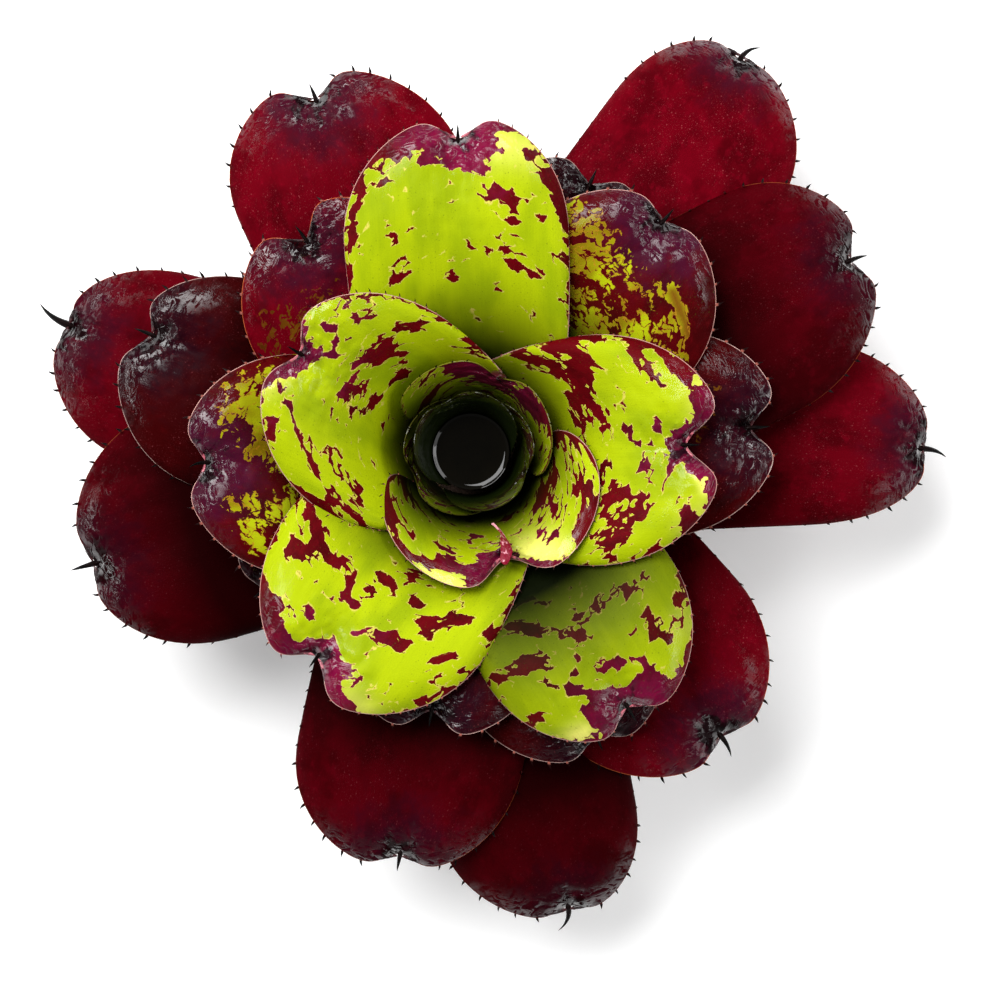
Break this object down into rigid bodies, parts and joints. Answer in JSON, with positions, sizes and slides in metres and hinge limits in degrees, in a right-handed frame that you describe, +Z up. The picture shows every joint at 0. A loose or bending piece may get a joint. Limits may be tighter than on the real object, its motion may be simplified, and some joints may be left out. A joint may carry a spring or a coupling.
{
  "type": "neoregelia bromeliad",
  "caption": "Rosette of broad, spiny-edged leaves nested round a central tank of water, cut at the foot of its short stem.",
  "frame": {"origin": "centre of the stem's flat cut, on which the plant rests", "axes": "+Z up along the stem; -Z is the outward normal of the cut; +X and +Y span the rosette, with a large outer leaf heading along +X"},
  "size_m": [0.2995, 0.295, 0.1091],
  "materials": {
    "leaf_green": "satin, lime green with maroon blotches and a magenta tip",
    "leaf_mixed": "satin, olive and orange under dense maroon blotches",
    "leaf_red": "satin to glossy, wine red with pale specks and dark tips",
    "stem": "matt, fibrous",
    "water": "mirror-smooth"
  },
  "bodies": {
    "root": {"stem": "stem", "water": "water", "leaf_01": "leaf_green", "leaf_02": "leaf_green", "leaf_03": "leaf_green", "leaf_04": "leaf_green", "leaf_05": "leaf_green", "leaf_06": "leaf_green", "leaf_07": "leaf_green", "leaf_08": "leaf_green", "leaf_09": "leaf_green", "leaf_10": "leaf_green", "leaf_11": "leaf_mixed", "leaf_12": "leaf_mixed", "leaf_13": "leaf_red", "leaf_14": "leaf_red", "leaf_15": "leaf_red", "leaf_16": "leaf_red", "leaf_17": "leaf_red", "leaf_18": "leaf_red", "leaf_19": "leaf_red", "leaf_20": "leaf_red", "leaf_21": "leaf_red", "leaf_22": "leaf_red", "leaf_23": "leaf_red", "leaf_24": "leaf_red", "leaf_25": "leaf_red", "leaf_26": "leaf_red", "leaf_27": "leaf_red", "leaf_28": "leaf_red"}
  },
  "joints": []
}
